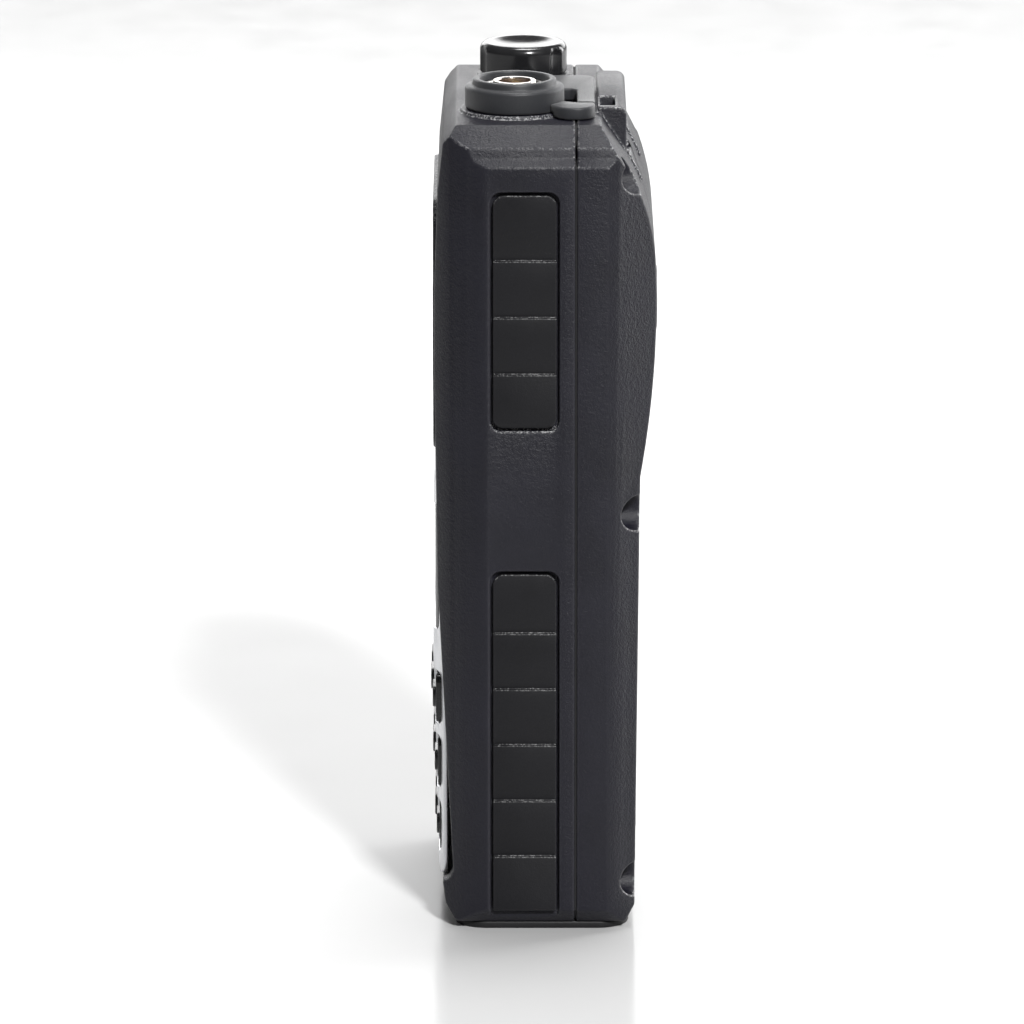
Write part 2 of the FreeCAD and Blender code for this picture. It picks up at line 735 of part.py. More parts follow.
def tuning_knob():
    """A knob with three wide flutes, a round rim and a dished top."""
    radius = "knob_radius"
    tall = "knob_top - knob_foot"
    knob = turned("tuning_knob", [
        ("shaft_radius", "0"),
        (f"{radius} - 0.2", "0"),
        (radius, "0.2"),
        (radius, f"{tall} - 1"),
        (f"{radius} - 0.3", f"{tall} - 0.3"),
        (f"{radius} - 1", tall),
        (f"{radius} - 1.6", tall),
        (f"{radius} - 3", f"{tall} - 0.6"),
        ("0", f"{tall} - 0.8"),
        ("0", f"{tall} - 1.8"),
        ("shaft_radius", f"{tall} - 1.8"),
    ], "knob_x", "knob_y", "knob_foot", FreeCAD.Rotation(FreeCAD.Vector(0, 0, 1), size("flute_angle")))
    sketch = knob.newObject("Sketcher::SketchObject", "flute_sketch")
    plane = next(item for item in knob.Origin.OriginFeatures if item.Role == PLANES["z"])
    sketch.AttachmentSupport = [(plane, "")]
    sketch.MapMode = "FlatFace"
    sketch.addGeometry(Part.Circle(FreeCAD.Vector(size("knob_radius + flute_radius - flute_deep"), 0, 0),
                                   FreeCAD.Vector(0, 0, 1),
                                   size("flute_radius")))
    for kind, formula in (("DistanceX", "knob_radius + flute_radius - flute_deep"), ("DistanceY", "0")):
        rule = sketch.addConstraint(Sketcher.Constraint(kind, -1, 1, 0, 3, size(formula)))
        sketch.renameConstraint(rule, kind)
        sketch.setExpression(f"Constraints.{kind}", bound(formula))
    rule = sketch.addConstraint(Sketcher.Constraint("Radius", 0, size("flute_radius")))
    sketch.renameConstraint(rule, "flute")
    sketch.setExpression("Constraints.flute", bound("flute_radius"))
    flute = knob.newObject("PartDesign::Pocket", "flute")
    flute.Profile = sketch
    flute.Reversed = True
    flute.setExpression("Length", bound(f"{tall} + 1"))
    doc.recompute()
    one_flute_volume = knob.Shape.Volume
    flutes = knob.newObject("PartDesign::PolarPattern", "flutes")
    flutes.Originals = [flute]
    flutes.Axis = (next(item for item in knob.Origin.OriginFeatures if item.Role == "Z_Axis"), [""])
    flutes.Angle = 360
    flutes.Occurrences = 3
    knob.Tip = flutes
    doc.recompute()
    if knob.Shape.Volume >= one_flute_volume:
        raise SystemExit("the knob's flutes cut nothing")
    finish(knob, "tuning_knob")
    collar = cut("knob_collar", rod("collar_disc", "z", "collar_radius",
                                    ("top_plane", "top_plane + collar_tall"),
                                    "knob_x", "knob_y", "0"),
                 [rod("collar_bore", "z", "shaft_radius + 0.3", ("110", "120"), "knob_x", "knob_y", "0")])
    finish(collar, "knob_collar")
    finish(rod("encoder_shaft", "z", "shaft_radius", ("106.6", "knob_top - 1.8"), "knob_x", "knob_y", "0"),
           "encoder_shaft")
    body = box("encoder_block", ("knob_x - 5.5", "knob_x + 5.5"), ("knob_y - 5.5", "knob_y + 5.5"),
               ("104.6", "109.4"))
    finish(cut("encoder_body", body, [rod("encoder_bore", "z", "shaft_radius + 0.05", ("106.5", "120"),
                                          "knob_x", "knob_y", "0")]), "encoder_body")


# Antenna connector

def aerial(name, corners):
    """A round piece on the antenna connector's axis, with heights measured from the top plane."""
    return turned(name, corners, "aerial_x", "aerial_y", "top_plane")


def antenna_parts():
    reach = "barrel_top - top_plane"
    barrel = aerial("antenna_barrel", [
        ("barrel_bore", "-7"),
        ("barrel_body", "-7"),
        ("barrel_body", "boss_tall + nut_tall"),
        ("barrel_radius", "boss_tall + nut_tall"),
        ("barrel_radius", f"{reach} - 0.3"),
        ("barrel_radius - 0.3", reach),
        ("barrel_bore + 0.1", reach),
        ("barrel_bore", f"{reach} - 0.1"),
    ])
    finish(barrel, "antenna_barrel")
    finish(aerial("antenna_nut", [
        ("barrel_body", "boss_tall"),
        ("nut_radius", "boss_tall"),
        ("nut_radius", "boss_tall + nut_tall - 0.3"),
        ("nut_radius - 0.3", "boss_tall + nut_tall"),
        ("barrel_body", "boss_tall + nut_tall"),
    ]), "antenna_nut")
    finish(aerial("antenna_insulator", [
        ("0.62", "-7"),
        ("barrel_bore", "-7"),
        ("barrel_bore", f"{reach} - 2.4"),
        ("0.62", f"{reach} - 2.4"),
    ]), "antenna_insulator")
    finish(aerial("antenna_contact", [
        ("0", "-8"),
        ("0.62", "-8"),
        ("0.62", f"{reach} - 0.9"),
        ("0.42", f"{reach} - 0.6"),
        ("0.3", f"{reach} - 0.6"),
        ("0.3", f"{reach} - 2.2"),
        ("0", f"{reach} - 2.2"),
    ]), "antenna_contact")
    base = "boss_tall + 0.05"
    finish(aerial("antenna_ring", [
        ("rim_bore", base),
        ("ring_radius - 0.3", base),
        ("ring_radius", f"{base} + 0.3"),
        ("ring_radius", f"{base} + ring_band - 0.5"),
        ("ring_radius - 0.5", f"{base} + ring_band"),
        ("rim_radius + 0.1", f"{base} + ring_band + 0.1"),
        ("rim_radius", f"{base} + ring_band + rim_tall - 0.3"),
        ("rim_radius - 0.3", f"{base} + ring_band + rim_tall"),
        ("rim_bore + 0.1", f"{base} + ring_band + rim_tall"),
        ("rim_bore", f"{base} + ring_band + rim_tall - 0.1"),
    ]), "antenna_ring")


# Jack cap on its strap

def cap_parts():
    """The rubber cap hinges at the end of a strap that leaves the antenna ring."""
    high = "cap_foot + cap_thick"
    strap = slab("strap_band", "z", [
        ("aerial_x + 1", "aerial_y + 4"),
        ("aerial_x + 4", "aerial_y + 4.5"),
        ("19.4", "1.7"),
        ("20.2", "3"),
        ("20.2", "cap_back - 2.6", "2.6"),
        ("17.6", "cap_back"),
        ("cap_hinge + 0.4", "cap_back"),
        ("cap_hinge + 0.4", "cap_neck"),
    ], "cap_foot", high)
    clear = rod("strap_clear", "z", "boss_radius + 0.05", ("100", "top_plane + boss_tall + 0.05"),
                "aerial_x", "aerial_y", "0")
    inner = rod("strap_inner", "z", "ring_radius", ("100", "130"), "aerial_x", "aerial_y", "0")
    finish(cut("cap_strap", strap, [clear, inner]), "cap_strap")
    plate = slab("cap_plate", "z", [
        ("cap_far + 1.5", "cap_front"),
        ("cap_near - 1.5", "cap_front", "1.5"),
        ("cap_near", "cap_front + 1.5"),
        ("cap_near", "cap_neck - 0.8"),
        ("cap_near + 0.8", "cap_neck"),
        ("cap_hinge", "cap_neck"),
        ("cap_hinge", "cap_back"),
        ("cap_far + 1.5", "cap_back", "1.5"),
        ("cap_far", "cap_back - 1.5"),
        ("cap_far", "cap_front + 1.5", "1.5"),
    ], "cap_foot", high)
    prongs = [
        rod("prong_large", "z", "jack_large - 0.4", ("cap_foot - 1.6", "cap_foot + 0.5"), "jack_large_x",
            "jack_y", "0"),
        rod("prong_small", "z", "jack_small - 0.35", ("cap_foot - 1.6", "cap_foot + 0.5"), "jack_small_x",
            "jack_y", "0"),
    ]
    finish(fuse("jack_cap", [plate] + prongs), "jack_cap")
    block = box("jack_solid", ("-4.6", "4.2"), ("-1", "3.9"), ("103", "cave_top"))
    finish(cut("jack_block", block, jack_bores("jack_bore", "104")), "jack_block")


# Belt clip stud

def belt_clip_stud():
    """A mushroom stud standing in a round well in the back."""
    stud = turned("belt_clip_stud", [
        ("0", "cave_back - 0.9"),
        ("stud_neck + 1.4", "cave_back - 0.9"),
        ("stud_neck + 1.4", "cave_back - 0.05"),
        ("stud_neck", "cave_back - 0.05"),
        ("stud_neck", "stud_face - 1.5"),
        ("stud_head", "stud_face - 1.5"),
        ("stud_head", "stud_face - 0.5", "0.5"),
        ("stud_head - 0.5", "stud_face"),
        ("0", "stud_face"),
    ], "0", "0", "stud_z", TURNED["y"])
    finish(stud, "belt_clip_stud")


# Battery, its door and latch

def battery_parts():
    door = common("door_blank", [
        outer_form,
        box("door_area", ("-door_half", "door_half"), ("door_inner", "30"), ("door_low", "door_high")),
    ])
    pin_way = rod("door_pin_way", "x", "door_pin", ("-30", "30"), "0", "door_pin_y", "door_pin_z")
    tongue_way = box("tongue_way", ("-latch_half - 0.4", "latch_half + 0.4"),
                     ("door_inner - 1", "door_inner + 0.85"),
                     ("door_high - 2", "door_high + 1"))
    grooves = [box(f"door_groove_{step}", ("-9", "9"), ("back_face - 0.15", "30"),
                   (f"door_high - 5 - 2.2 * {step}", f"door_high - 4 - 2.2 * {step}")) for step in range(4)]
    finish(cut("battery_door", door, [pin_way, tongue_way] + grooves), "battery_door")
    finish(rod("door_pin", "x", "door_pin", ("-door_half - 1.8", "door_half + 1.8"), "0", "door_pin_y",
               "door_pin_z"),
           "door_pin")
    thumb = box("latch_thumb", ("-latch_half - 2", "latch_half + 2"), ("back_face - 0.6", "back_face + 0.35"),
                ("61.4", "66.5"))
    grooves = [box(f"latch_groove_{step}", ("-10", "10"), ("back_face", "20"),
                   (f"62.4 + 1.1 * {step}", f"62.9 + 1.1 * {step}")) for step in range(3)]
    tongue = box("latch_tongue", ("-latch_half", "latch_half"), ("door_inner + 0.1", "door_inner + 0.65"),
                 ("door_high + 0.4", "64.5"))
    stem = box("latch_stem", ("-latch_half", "latch_half"), ("door_inner + 0.1", "back_face"),
               ("61.4", "64.5"))
    finish(cut("battery_latch", fuse("latch_fused", [thumb, tongue, stem]), grooves), "battery_latch")
    finish(box("battery_pack", ("-door_half + 1.2", "door_half - 1.2"), ("battery_front", "battery_back"),
               ("door_low + 1", "door_high + 5")), "battery_pack")
    strips = [box(f"contact_{side}", (f"{x} - 1.2", f"{x} + 1.2"), ("5", "9"),
                  ("door_high + 5.02", "door_high + 5.5"))
              for side, x in (("plus", "6"), ("minus", "-6"))]
    finish(group("battery_contacts", strips), "battery_contacts")


# Electronics and the frame that carries them

def inner_parts():
    frame = box("frame_plate", ("-board_half", "board_half"), ("1.6", "3"), ("7", "102"))
    windows = [box(f"frame_window_{step}", ("-12", "12"), ("0", "5"),
                   (f"{14 + 30 * step}", f"{34 + 30 * step}"))
               for step in range(3)]
    finish(cut("chassis_frame", frame, windows), "chassis_frame")
    finish(box("main_board", ("-board_half", "board_half"), ("-3", "-1.8"), ("7", "102.5")), "main_board")
    can = box("can_outer", ("-14", "14"), ("-6.2", "-3"), ("40", "64"))
    finish(cut("shield_can", can, [box("can_inner", ("-13.6", "13.6"), ("-5.8", "0"), ("40.4", "63.6"))]),
           "shield_can")
    finish(box("transceiver_chip", ("-5", "5"), ("-4.4", "-3"), ("47", "57")), "transceiver_chip")
    finish(box("power_amplifier", ("2", "16"), ("-1.8", "0.4"), ("84", "98")), "power_amplifier")
    posts = [rod(f"standoff_{i}", "y", "1.9", ("-1.8", "1.6"), f"{x}", "0", z)
             for i, (x, z) in enumerate((("15.5", "10.5"), ("-15.5", "10.5"), ("15.5", "76"),
                                         ("-15.5", "76")))]
    finish(group("board_standoffs", posts), "board_standoffs")
    basket = turned("speaker_basket", [
        ("speaker_radius - 1.6", "0"),
        ("speaker_radius", "0"),
        ("speaker_radius", "1.2"),
        ("5.4", "4.4"),
        ("4.6", "4.4"),
        ("4.6", "3.6"),
        ("speaker_radius - 1.6", "0.8"),
    ], "0", "-12.2", "speaker_z", TURNED["y"])
    finish(basket, "speaker_basket")
    cone = turned("speaker_cone", [
        ("0", "1.9"),
        ("3.6", "1.9"),
        ("speaker_radius - 2.6", "0"),
        ("speaker_radius - 1.6", "0"),
        ("speaker_radius - 1.6", "0.4"),
        ("speaker_radius - 2.6", "0.4"),
        ("3.8", "2.2"),
        ("0", "2.2"),
    ], "0", "-12.2", "speaker_z", TURNED["y"])
    finish(cone, "speaker_cone")
    finish(rod("speaker_magnet", "y", "6.5", ("-7.8", "-4.9"), "0", "0", "speaker_z"), "speaker_magnet")
    finish(rod("speaker_mesh", "y", "speaker_radius", ("-12.85", "-12.6"), "0", "0", "speaker_z"),
           "speaker_mesh")
    finish(rod("status_lamp", "z", "1.1", ("top_plane - 4", "top_plane + 0.2"), "-1", "-8.6", "0"),
           "status_lamp")


front_case()
rear_case()
case_gasket()
base_foot()
case_screws()
keypad_bezel()
keys()
display_parts()
side_keys()
for grip_name in GRIPS:
    grip(grip_name)
tuning_knob()
antenna_parts()
cap_parts()
belt_clip_stud()
battery_parts()
inner_parts()
doc.recompute()

faults = [item.Name for item in doc.Objects if "Invalid" in item.State or "Error" in item.State]
for item in nodes:
    if item.Shape.isNull() or not item.Shape.isValid() or not item.Shape.Solids:
        faults.append(item.Label)
if faults:
    raise SystemExit("failed: " + ", ".join(faults))

os.makedirs("parts", exist_ok=True)
for item in nodes:
    item.Shape.exportStep(f"parts/{item.Label}.step")
    bounds = item.Shape.BoundBox
    print(f"{item.Label:24s} solids {len(item.Shape.Solids)} volume {item.Shape.Volume:9.1f}  "
          f"x {bounds.XMin:7.2f} {bounds.XMax:7.2f}  y {bounds.YMin:7.2f} {bounds.YMax:7.2f}  "
          f"z {bounds.ZMin:7.2f} {bounds.ZMax:7.2f}")
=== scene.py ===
import math

import bmesh
import bpy
from mathutils import Matrix, Vector


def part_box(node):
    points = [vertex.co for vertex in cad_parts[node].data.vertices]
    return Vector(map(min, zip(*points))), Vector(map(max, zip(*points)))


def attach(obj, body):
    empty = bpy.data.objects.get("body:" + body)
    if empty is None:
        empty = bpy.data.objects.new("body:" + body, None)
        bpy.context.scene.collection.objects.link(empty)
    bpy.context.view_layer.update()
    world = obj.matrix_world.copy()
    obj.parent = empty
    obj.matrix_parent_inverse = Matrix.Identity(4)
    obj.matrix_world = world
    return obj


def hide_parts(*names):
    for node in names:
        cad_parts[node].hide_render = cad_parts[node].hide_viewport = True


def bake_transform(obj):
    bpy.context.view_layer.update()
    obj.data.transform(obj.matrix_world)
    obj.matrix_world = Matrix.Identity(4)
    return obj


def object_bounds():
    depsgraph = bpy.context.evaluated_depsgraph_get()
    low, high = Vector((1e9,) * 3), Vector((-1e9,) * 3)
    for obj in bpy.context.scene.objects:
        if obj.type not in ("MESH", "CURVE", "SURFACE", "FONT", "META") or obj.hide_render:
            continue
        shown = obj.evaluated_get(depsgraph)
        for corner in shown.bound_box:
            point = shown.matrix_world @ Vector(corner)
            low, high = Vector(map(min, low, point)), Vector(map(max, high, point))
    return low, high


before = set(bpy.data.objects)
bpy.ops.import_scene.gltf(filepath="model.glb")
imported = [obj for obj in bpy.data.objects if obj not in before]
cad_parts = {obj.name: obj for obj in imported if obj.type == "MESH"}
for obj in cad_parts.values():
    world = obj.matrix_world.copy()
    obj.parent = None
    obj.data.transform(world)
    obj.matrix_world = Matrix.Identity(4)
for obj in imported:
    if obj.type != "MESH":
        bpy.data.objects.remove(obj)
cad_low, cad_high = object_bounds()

MM = 0.001
WELD = 1e-6             # metres within which two points are one
NOISE = (0.3, 0.7)      # the range in which noise mostly stays


# Materials

class Shader:
    """A principled material and short ways to add procedural nodes to it."""

    def __init__(self, name):
        self.material = bpy.data.materials.new(name)
        self.material.use_nodes = True
        self.nodes = self.material.node_tree.nodes
        self.links = self.material.node_tree.links
        self.surface = self.nodes["Principled BSDF"]
        self.place = self.add("ShaderNodeTexCoord").outputs["Object"]
        self.normal = None
        self.facing_up = None

    def add(self, kind, **values):
        """A new node, with its settings and inputs given by name."""
        node = self.nodes.new(kind)
        for name, value in values.items():
            if hasattr(node, name):
                setattr(node, name, value)
            else:
                node.inputs[name.replace("_", " ")].default_value = value
        return node

    def link(self, start, end):
        self.links.new(start, end)

    def set(self, **values):
        """Give inputs of the surface plain values."""
        for name, value in values.items():
            self.surface.inputs[name.replace("_", " ")].default_value = value

    def noise(self, feature_mm, detail=3.0, rough=0.55, stretch=None):
        """Noise whose features are about this many millimetres across."""
        node = self.add("ShaderNodeTexNoise", Scale=1.0 / (feature_mm * MM), Detail=detail, Roughness=rough)
        if stretch:
            scaled = self.add("ShaderNodeMapping", Scale=stretch)
            self.link(self.place, scaled.inputs["Vector"])
            self.link(scaled.outputs["Vector"], node.inputs["Vector"])
        else:
            self.link(self.place, node.inputs["Vector"])
        return node.outputs["Fac"]

    def cells(self, feature_mm, feature="F1"):
        """Voronoi cells of about this many millimetres."""
        node = self.add("ShaderNodeTexVoronoi", feature=feature, Scale=1.0 / (feature_mm * MM))
        self.link(self.place, node.inputs["Vector"])
        return node.outputs["Distance"]

    def ramp(self, value, low, high, start=0.0, end=1.0):
        """The value stretched so that low becomes start and high becomes end."""
        node = self.add("ShaderNodeMapRange", From_Min=low, From_Max=high, To_Min=start, To_Max=end)
        self.link(value, node.inputs["Value"])
        return node.outputs["Result"]

    def mix(self, factor, dark, light):
        """A colour between two, chosen by a value."""
        node = self.add("ShaderNodeMix", data_type="RGBA")
        self.link(factor, node.inputs["Factor"])
        for socket, colour in zip((node.inputs[6], node.inputs[7]), (dark, light)):
            if hasattr(colour, "is_output"):
                self.link(colour, socket)
            else:
                socket.default_value = (*colour, 1.0)
        return node.outputs[2]

    def math(self, operation, a, b):
        """One sum on two values or numbers."""
        node = self.add("ShaderNodeMath", operation=operation)
        for socket, value in zip(node.inputs, (a, b)):
            if hasattr(value, "is_output"):
                self.link(value, socket)
            else:
                socket.default_value = value
        return node.outputs[0]

    def bump(self, height, depth_mm):
        """Add relief of this depth on top of what is there already."""
        node = self.add("ShaderNodeBump", Strength=1.0, Distance=depth_mm * MM)
        self.link(height, node.inputs["Height"])
        if self.normal:
            self.link(self.normal, node.inputs["Normal"])
        self.normal = node.outputs["Normal"]
        self.link(self.normal, self.surface.inputs["Normal"])

    def soft_edges(self, radius_mm):
        """Round the shading of sharp edges and note what faces up. Returns how near an edge a point is."""
        node = self.add("ShaderNodeBevel", samples=4, Radius=radius_mm * MM)
        self.normal = node.outputs["Normal"]
        self.link(self.normal, self.surface.inputs["Normal"])
        flat = self.add("ShaderNodeNewGeometry").outputs["Normal"]
        dot = self.add("ShaderNodeVectorMath", operation="DOT_PRODUCT")
        self.link(self.normal, dot.inputs[0])
        self.link(flat, dot.inputs[1])
        parts = self.add("ShaderNodeSeparateXYZ")
        self.link(self.normal, parts.inputs["Vector"])
        self.facing_up = self.ramp(parts.outputs["Z"], 0.08, 0.4)
        return self.ramp(dot.outputs["Value"], 0.998, 0.95)


def tones(colour, spread):
    """A darker and a lighter tone of a colour."""
    return [tuple(channel * factor for channel in colour) for factor in (1 - spread, 1 + spread)]


def polish_highlight_tone(colour, factor, lift):
    """A lighter tone of a colour, laid on edges as polish from handling and as painted highlight."""
    return tuple(min(1.0, channel * factor + lift) for channel in colour)


def moulded(name, colour, rough, grain_mm=0.28, depth_mm=0.012, spread=0.16, edge_polish_and_highlight=0.35, edge_mm=0.18,
            sheen=0.0, painted_glint_colour=0.05, specular=0.37):
    """Plastic or rubber with a sparked grain, uneven gloss, edges lightened for polish and painted
    highlight, and painted glints on edges facing up.
    """
    made = Shader(name)
    edge = made.soft_edges(edge_mm)
    broad = made.noise(feature_mm=9.0)
    dark, light = tones(colour, spread)
    base = made.mix(made.ramp(broad, *NOISE), dark, light)
    # edges lighter: polish from handling, and a painted highlight along the creases
    base = made.mix(made.math("MULTIPLY", edge, edge_polish_and_highlight), base, polish_highlight_tone(colour, 1.7, 0.05))
    # painted glints: lighter specks on edges that face up, where the light catches them
    painted_glint_mask = made.math("MULTIPLY", made.math("MULTIPLY", edge, made.facing_up),
                      made.ramp(made.noise(feature_mm=0.3, detail=1.0), 0.5, 0.6))
    base = made.mix(painted_glint_mask, base, (painted_glint_colour, painted_glint_colour, painted_glint_colour))
    made.link(base, made.surface.inputs["Base Color"])
    fine = made.noise(grain_mm, detail=4.0, rough=0.65)
    uneven = made.math("ADD", made.ramp(broad, *NOISE, rough - 0.04, rough + 0.05),
                       made.ramp(fine, *NOISE, -0.05, 0.05))
    made.link(made.math("SUBTRACT", uneven, made.math("MULTIPLY", edge, 0.12 * edge_polish_and_highlight)),
              made.surface.inputs["Roughness"])
    made.bump(made.ramp(fine, 0.35, 0.68), depth_mm)
    made.bump(made.ramp(made.cells(grain_mm * 2.4), 0.0, 0.8), depth_mm * 0.8)
    made.set(IOR=1.5, Specular_IOR_Level=specular, Sheen_Weight=sheen)
    return made.material


def glossy(name, colour, rough, wave_mm=0.003):
    """Smooth plastic with faint handling marks and a slight moulding wave."""
    made = Shader(name)
    edge = made.soft_edges(radius_mm=0.12)
    smudge = made.noise(feature_mm=3.5, detail=5.0, rough=0.6)
    dark, light = tones(colour, 0.12)
    base = made.mix(made.ramp(smudge, 0.35, 0.65), dark, light)
    made.link(made.mix(made.math("MULTIPLY", edge, 0.3), base, polish_highlight_tone(colour, 1.5, 0.01)),
              made.surface.inputs["Base Color"])
    made.link(made.ramp(smudge, 0.4, 0.75, rough, rough + 0.12), made.surface.inputs["Roughness"])
    made.bump(made.noise(feature_mm=0.9), wave_mm)
    made.set(IOR=1.52)
    return made.material


def metal(name, colour, rough, brush=(1, 1, 1), depth_mm=0.002, stain=None):
    """Bare or plated metal with tool marks along the directions left unstretched."""
    made = Shader(name)
    made.soft_edges(radius_mm=0.08)
    marks = made.noise(feature_mm=0.12, detail=3.0, stretch=brush)
    patch = made.noise(feature_mm=1.1, detail=4.0)
    dark, light = tones(colour, 0.1)
    base = made.mix(made.ramp(patch, 0.35, 0.65), dark, light)
    if stain:
        base = made.mix(made.ramp(made.noise(feature_mm=0.7, detail=5.0), 0.5, 0.72), base, stain)
    made.link(base, made.surface.inputs["Base Color"])
    made.link(made.ramp(marks, *NOISE, rough - 0.05, rough + 0.08), made.surface.inputs["Roughness"])
    made.bump(marks, depth_mm)
    made.set(Metallic=1.0)
    return made.material


def silver_paint(name):
    """Fine metallic paint with flakes under a thin clear coat."""
    made = Shader(name)
    edge = made.soft_edges(radius_mm=0.15)
    flake = made.cells(feature_mm=0.09)
    base = made.mix(made.ramp(flake, 0.0, 0.6), (0.52, 0.53, 0.55), (0.72, 0.73, 0.75))
    base = made.mix(made.math("MULTIPLY", edge, 0.3), base, (0.85, 0.86, 0.87))
    made.link(base, made.surface.inputs["Base Color"])
    made.link(made.ramp(made.noise(feature_mm=2.5), *NOISE, 0.28, 0.38), made.surface.inputs["Roughness"])
    made.bump(flake, depth_mm=0.002)
    made.set(Metallic=0.75, Coat_Weight=0.25, Coat_Roughness=0.12)
    return made.material


def display_window(name, low, high):
    """Dark smoked window. A clear area shows the display behind it and a black border frames it."""
    border = 1.6 * MM
    fade = 0.05 * MM
    made = Shader(name)
    split = made.add("ShaderNodeSeparateXYZ")
    made.link(made.place, split.inputs[0])
    inside = None
    for axis, socket in ((0, "X"), (2, "Z")):
        middle = (low[axis] + high[axis]) / 2
        half = (high[axis] - low[axis]) / 2 - border
        off = made.math("ABSOLUTE", made.math("SUBTRACT", split.outputs[socket], middle), 0.0)
        here = made.ramp(off, half, half - fade)
        inside = here if inside is None else made.math("MULTIPLY", inside, here)
    smudge = made.noise(feature_mm=4.0, detail=5.0)
    made.link(made.mix(inside, (0.008, 0.008, 0.009), (0.2, 0.23, 0.21)), made.surface.inputs["Base Color"])
    made.link(made.math("MULTIPLY", inside, 0.9), made.surface.inputs["Transmission Weight"])
    made.link(made.ramp(smudge, 0.4, 0.7, 0.04, 0.12), made.surface.inputs["Roughness"])
    made.bump(made.noise(feature_mm=3.0), depth_mm=0.002)
    made.set(IOR=1.49)
    return made.material


def lcd_face(name):
    """Grey-green display glass with the faint grid of its cells."""
    cell_mm = 0.55
    made = Shader(name)
    split = made.add("ShaderNodeSeparateXYZ")
    made.link(made.place, split.inputs[0])
    lines = None
    for socket in ("X", "Z"):
        wave = made.math("FRACT", made.math("MULTIPLY", split.outputs[socket], 1.0 / (cell_mm * MM)), 0.0)
        line = made.ramp(wave, 0.06, 0.12, 1.0, 0.0)
        lines = line if lines is None else made.math("MAXIMUM", lines, line)
    tint = made.mix(made.ramp(made.noise(feature_mm=6.0), *NOISE), (0.24, 0.29, 0.2), (0.3, 0.35, 0.25))
    made.link(made.mix(made.math("MULTIPLY", lines, 0.35), tint, (0.15, 0.19, 0.13)),
              made.surface.inputs["Base Color"])
    made.link(made.ramp(made.noise(feature_mm=2.0), *NOISE, 0.2, 0.3), made.surface.inputs["Roughness"])
    made.bump(lines, depth_mm=0.003)
    return made.material


def circuit_board(name):
    """Green solder mask over copper traces."""
    made = Shader(name)
    edge = made.soft_edges(radius_mm=0.05)
    trace = made.ramp(made.cells(feature_mm=2.2, feature="DISTANCE_TO_EDGE"), 0.04, 0.07, 1.0, 0.0)
    base = made.mix(trace, (0.012, 0.09, 0.04), (0.03, 0.17, 0.07))
    made.link(made.mix(edge, base, (0.3, 0.27, 0.16)), made.surface.inputs["Base Color"])
    made.link(made.ramp(made.noise(feature_mm=2.0), *NOISE, 0.25, 0.4), made.surface.inputs["Roughness"])
    made.bump(trace, depth_mm=0.03)
    return made.material


def woven(name, colour, thread_mm):
    """Plain-woven cloth, with threads of this width."""
    made = Shader(name)
    split = made.add("ShaderNodeSeparateXYZ")
    made.link(made.place, split.inputs[0])
    strands = None
    for socket in ("X", "Z"):
        turn = made.math("MULTIPLY", split.outputs[socket], math.pi / (thread_mm * MM))
        strand = made.math("ABSOLUTE", made.math("SINE", turn, 0.0), 0.0)
        strands = strand if strands is None else made.math("MULTIPLY", strands, strand)
    dark, light = tones(colour, 0.5)
    # the colour is darker between the threads: painted shade in the gaps
    made.link(made.mix(strands, dark, light), made.surface.inputs["Base Color"])
    made.link(made.ramp(made.noise(feature_mm=1.0), *NOISE, 0.7, 0.85), made.surface.inputs["Roughness"])
    made.bump(strands, thread_mm * 0.4)
    made.set(Sheen_Weight=0.2)
    return made.material


# The case and grip get strong painted glints, and their lighter edges are partly painted highlight.
CASE = moulded("case_plastic", (0.0052, 0.0050, 0.0100), 0.42, grain_mm=0.26, depth_mm=0.03, edge_polish_and_highlight=0.6,
               edge_mm=0.4, painted_glint_colour=0.55)
GRIP = moulded("grip_rubber", (0.004, 0.004, 0.0055), 0.46, grain_mm=0.2, depth_mm=0.010, edge_polish_and_highlight=0.6,
               painted_glint_colour=0.35, specular=0.28)
BUTTON = moulded("button_rubber", (0.009, 0.009, 0.011), 0.5, grain_mm=0.2, depth_mm=0.008, edge_polish_and_highlight=0.2)
SEAL = moulded("seal_rubber", (0.006, 0.006, 0.007), 0.7, grain_mm=0.15, depth_mm=0.004, edge_polish_and_highlight=0.1)
FOOT = moulded("foot_rubber", (0.006, 0.006, 0.0065), 0.5, grain_mm=0.3, depth_mm=0.01, edge_polish_and_highlight=0.2)
RING = moulded("ring_rubber", (0.021, 0.022, 0.025), 0.46, grain_mm=0.22, depth_mm=0.006, edge_polish_and_highlight=0.3,
               sheen=0.15)
COLLAR = moulded("collar_plastic", (0.045, 0.046, 0.05), 0.42, grain_mm=0.18, depth_mm=0.005, edge_polish_and_highlight=0.3)
KNOB = glossy("knob_gloss", (0.012, 0.012, 0.013), 0.16)
KEY = glossy("key_gloss", (0.010, 0.010, 0.011), 0.26, wave_mm=0.002)
STUD = glossy("stud_gloss", (0.012, 0.012, 0.013), 0.24)
SILVER = silver_paint("panel_silver")
BRIGHT = metal("bright_steel", (0.72, 0.72, 0.72), 0.24, brush=(1, 8, 1))
NICKEL = metal("nickel_plate", (0.62, 0.60, 0.58), 0.22, brush=(1, 1, 6), stain=(0.42, 0.27, 0.20))
NUT = metal("nut_nickel", (0.78, 0.77, 0.75), 0.34, brush=(1, 1, 3), stain=(0.36, 0.30, 0.27))
GOLD = metal("contact_gold", (0.86, 0.62, 0.28), 0.2)
ALLOY = metal("cast_alloy", (0.55, 0.55, 0.56), 0.42, depth_mm=0.01)
MAGNET = metal("magnet_grey", (0.2, 0.2, 0.21), 0.5, depth_mm=0.01)
CREAM = moulded("insulator_cream", (0.36, 0.24, 0.17), 0.4, grain_mm=0.2, depth_mm=0.004, edge_polish_and_highlight=0.1)
